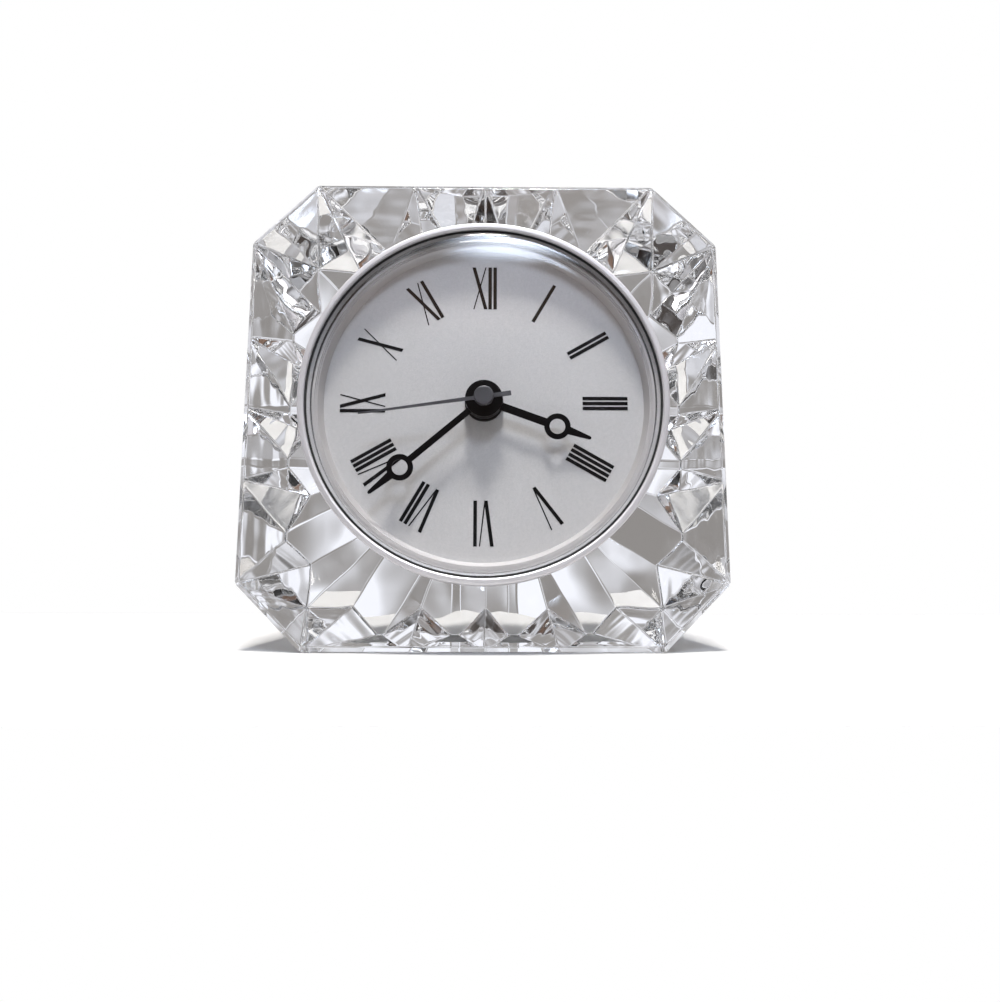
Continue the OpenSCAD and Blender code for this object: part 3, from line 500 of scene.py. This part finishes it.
# %% Plastics
shinier = 0.05
duller = 0.08
for name, base, rough, light_inside, nodes in (
        ("moulded_acetal", "E9E5DA", 0.38, 0.15, ("hour_wheel", "seconds_wheel", "rotor_pinion",
                                                  "intermediate_wheel", "third_wheel", "centre_wheel",
                                                  "minute_wheel")),
        ("moulded_nylon", "DDD2B4", 0.45, 0.1, ("coil_bobbin",)),
        ("polished_abs", "BDBBB6", 0.3, 0.05, ("setting_knob",)),
        ("solder_masked_laminate", "1E5632", 0.35, 0.0, ("circuit_board",)),
        ("cast_black_epoxy", "0B0B0C", 0.25, 0.0, ("timing_chip",)),
        ("printed_cell_sleeve", "22304A", 0.35, 0.0, ("cell_jacket",))):
    plastic = finish(name, base, grain_mm=0.4, depth_mm=0.006, haze_mm=3,
                     dull=(rough - shinier, rough + duller), Roughness=rough,
                     Subsurface_Weight=light_inside, Subsurface_Radius=(MM, MM, MM))
    dress(plastic, *nodes)

# %% [markdown]
# ## The camera
# The photograph was taken from close by and a little below the middle of the face, so the
# lower edge of the block looks wider than the upper one. A long lens from far off would miss
# that. The place and tilt were found by matching the eight corners of the block's front in
# the picture, and are given in the plane of the face.

# %% Camera
camera_place = Vector((2.29, -49.45, 175.38)) * MM
camera_tilt, camera_swing, camera_roll = (math.radians(a) for a in (8.5075, -0.5286, 0.0675))
focal_pixels = 740
longer_side_pixels = 1002

camera = bpy.data.cameras.new("camera")
camera.sensor_width = 36
camera.lens = focal_pixels / longer_side_pixels * camera.sensor_width
camera.clip_start = MM
camera_object = bpy.data.objects.new("camera", camera)
bpy.context.scene.collection.objects.link(camera_object)
aim = (Matrix.Rotation(-camera_tilt, 3, "X") @ Matrix.Rotation(camera_swing, 3, "Y")
       @ Matrix.Rotation(camera_roll, 3, "Z") @ Matrix.Diagonal((1, -1, -1)))
axes = Matrix((aim[0], -Vector(aim[1]), -Vector(aim[2]))).transposed().to_4x4()
axes.translation = camera_place
camera_object.matrix_world = face @ axes
bpy.context.scene.camera = camera_object
print("camera at", [round(v, 4) for v in camera_object.matrix_world.translation], "m")
print("its lens is", round(camera.lens, 1), "mm long")

# %% [markdown]
# ## The shelf
# The clock stands on matt white paper over a shelf not much deeper than itself. A floor that
# ran on to the horizon would fill the lower half of the glass with white, and the crystal
# would lose its greys.

# %% Shelf
shelf_side = 0.4
shelf_front = -0.1
shelf_back = 0.1
floor_mesh = bpy.data.meshes.new("floor")
floor_mesh.from_pydata([(-shelf_side, shelf_front, 0), (shelf_side, shelf_front, 0),
                        (shelf_side, shelf_back, 0), (-shelf_side, shelf_back, 0)], [], [(0, 1, 2, 3)])
floor = bpy.data.objects.new("floor", floor_mesh)
bpy.context.scene.collection.objects.link(floor)
floor_mesh.materials.append(finish("matt_white_paper", "C8C8C8", Roughness=0.8))
print("shelf", 2 * shelf_side, "by", shelf_back - shelf_front, "m")

# %% [markdown]
# ## Directions in the room
# Glass shows its surroundings, so a room matters more here than lamps do. It could be built
# from walls and boxes, but a shader on the world needs no room round the clock and renders
# fast. It knows each ray's direction, and turns it into two angles: how far round it goes,
# with 0 in front of the clock and 90 on its right, and how high.

# %% Directions
world = bpy.data.worlds.new("soft_room")
bpy.context.scene.world = world
world.use_nodes = True
tree = world.node_tree
tree.nodes.clear()
look = put(tree, "ShaderNodeTexCoord").outputs["Generated"]
split = put(tree, "ShaderNodeSeparateXYZ", {0: look})
forward = put(tree, "ShaderNodeMath", {0: split.outputs["Y"], 1: -1.0}, operation="MULTIPLY")
around = put(tree, "ShaderNodeMath", {0: split.outputs["X"], 1: forward}, operation="ARCTAN2")
above = put(tree, "ShaderNodeMath", {0: split.outputs["Z"]}, operation="ARCSINE")
print("the two angles take", len(tree.nodes), "nodes")

# %% [markdown]
# ## Panes of light
# The room is a stack of panes, each laid over the ones before it. A pane has a direction and
# a size in degrees, an edge that is sharp at 0 and soft at 1, and either one glow or a
# clutter: soft patches, like the things about a room, most of them nearer the low value than
# the high one.


# %% Pane, glow and clutter
def pane(room, azimuth, elevation, width, height, soft, shown):
    shares = []
    for angle, middle, size in ((around, azimuth, width), (above, elevation, height)):
        off = put(tree, "ShaderNodeMath", {0: angle, 1: math.radians(middle)}, operation="SUBTRACT")
        wrapped = put(tree, "ShaderNodeMath", {0: off, 1: math.pi, 2: -math.pi}, operation="WRAP")
        apart = put(tree, "ShaderNodeMath", {0: wrapped}, operation="ABSOLUTE")
        outer, inner = (math.radians(size / 2 * (1 + way * soft)) for way in (1, -1))
        shares.append(put(tree, "ShaderNodeMapRange", {"Value": apart, "From Min": outer,
                                                       "From Max": inner},
                          interpolation_type="SMOOTHSTEP"))
    both = put(tree, "ShaderNodeMath", {0: shares[0], 1: shares[1]}, operation="MULTIPLY")
    return put(tree, "ShaderNodeMix", {0: both, 6: room, 7: shown}, data_type="RGBA")


def glow(tint, strength):
    return (*[c * strength for c in colour(tint)[:3]], 1)


def clutter(patch, low, high, bias):
    things = put(tree, "ShaderNodeTexNoise", {"Vector": look, "Scale": 1 / math.radians(patch),
                                              "Detail": 0.0})
    all_low, all_high = 0.32, 0.68
    share = put(tree, "ShaderNodeMapRange", {"Value": things, "From Min": all_low, "From Max": all_high})
    leaning = put(tree, "ShaderNodeMath", {0: share, 1: bias}, operation="POWER")
    return put(tree, "ShaderNodeMix", {0: leaning, 6: glow("FBF5F1", low), 7: glow("F7F8FF", high)},
               data_type="RGBA")


print("a white glow of strength 2 is", glow("FFFFFF", 2.0))

# %% [markdown]
# ## The room
# Two panes with clutter of their own, one all round below the shelf and one behind the
# clock, set the greys that show through the crystal. In front it is dim, so that the lens
# doesn't hide the dial, with a warm band over that. A window, high in front, draws the
# bright streak on the lens, and the ceiling light casts the hands' shadows down the dial.

# %% Room
room = clutter(patch=13, low=0.12, high=1.5, bias=2.5)
room = pane(room, azimuth=180, elevation=-50, width=360, height=98, soft=0.05,
            shown=clutter(patch=9, low=0.38, high=0.95, bias=1.4))
room = pane(room, azimuth=180, elevation=18, width=160, height=64, soft=0.3,
            shown=clutter(patch=7, low=0.36, high=1.25, bias=2.6))
room = pane(room, azimuth=0, elevation=10, width=120, height=60, soft=0.5, shown=glow("B8A8A0", 0.13))
room = pane(room, azimuth=0, elevation=40, width=90, height=14, soft=0.5, shown=glow("D0A890", 0.45))
room = pane(room, azimuth=10, elevation=53, width=26, height=7, soft=1.0, shown=glow("E0ECFF", 38.0))
room = pane(room, azimuth=0, elevation=76, width=30, height=8, soft=0.5, shown=glow("FFFBF5", 250.0))
print("the room takes", len(tree.nodes), "nodes")

# %% [markdown]
# ## What the camera sees behind the clock
# The photograph has plain white there. A white card behind the clock would show through the
# glass as well, so the world tells rays apart instead. Those that come straight from the
# camera get white, and all the others, which light the clock and cross its glass, get the
# room.

# %% Backdrop
ray = put(tree, "ShaderNodeLightPath")
lit = put(tree, "ShaderNodeBackground", {"Color": room})
plain = put(tree, "ShaderNodeBackground", {"Color": colour("FFFFFF")})
either = put(tree, "ShaderNodeMixShader", {0: ray.outputs["Is Camera Ray"], 1: lit, 2: plain})
put(tree, "ShaderNodeOutputWorld", {"Surface": either})
print("backdrop white, room seen in the glass")

# %% [markdown]
# ## Render settings that belong to the scene
# Light goes through several faces of the block before it leaves, so paths may bounce more
# often than usual, or the glass would turn black. The Standard view keeps white paper white.

# %% Bounces and view
scene = bpy.context.scene
scene.view_settings.view_transform = "Standard"
most_bounces = 24
for kind in ("max_bounces", "transmission_bounces", "glossy_bounces"):
    setattr(scene.cycles, kind, most_bounces)
print("up to", most_bounces, "bounces, view", scene.view_settings.view_transform)
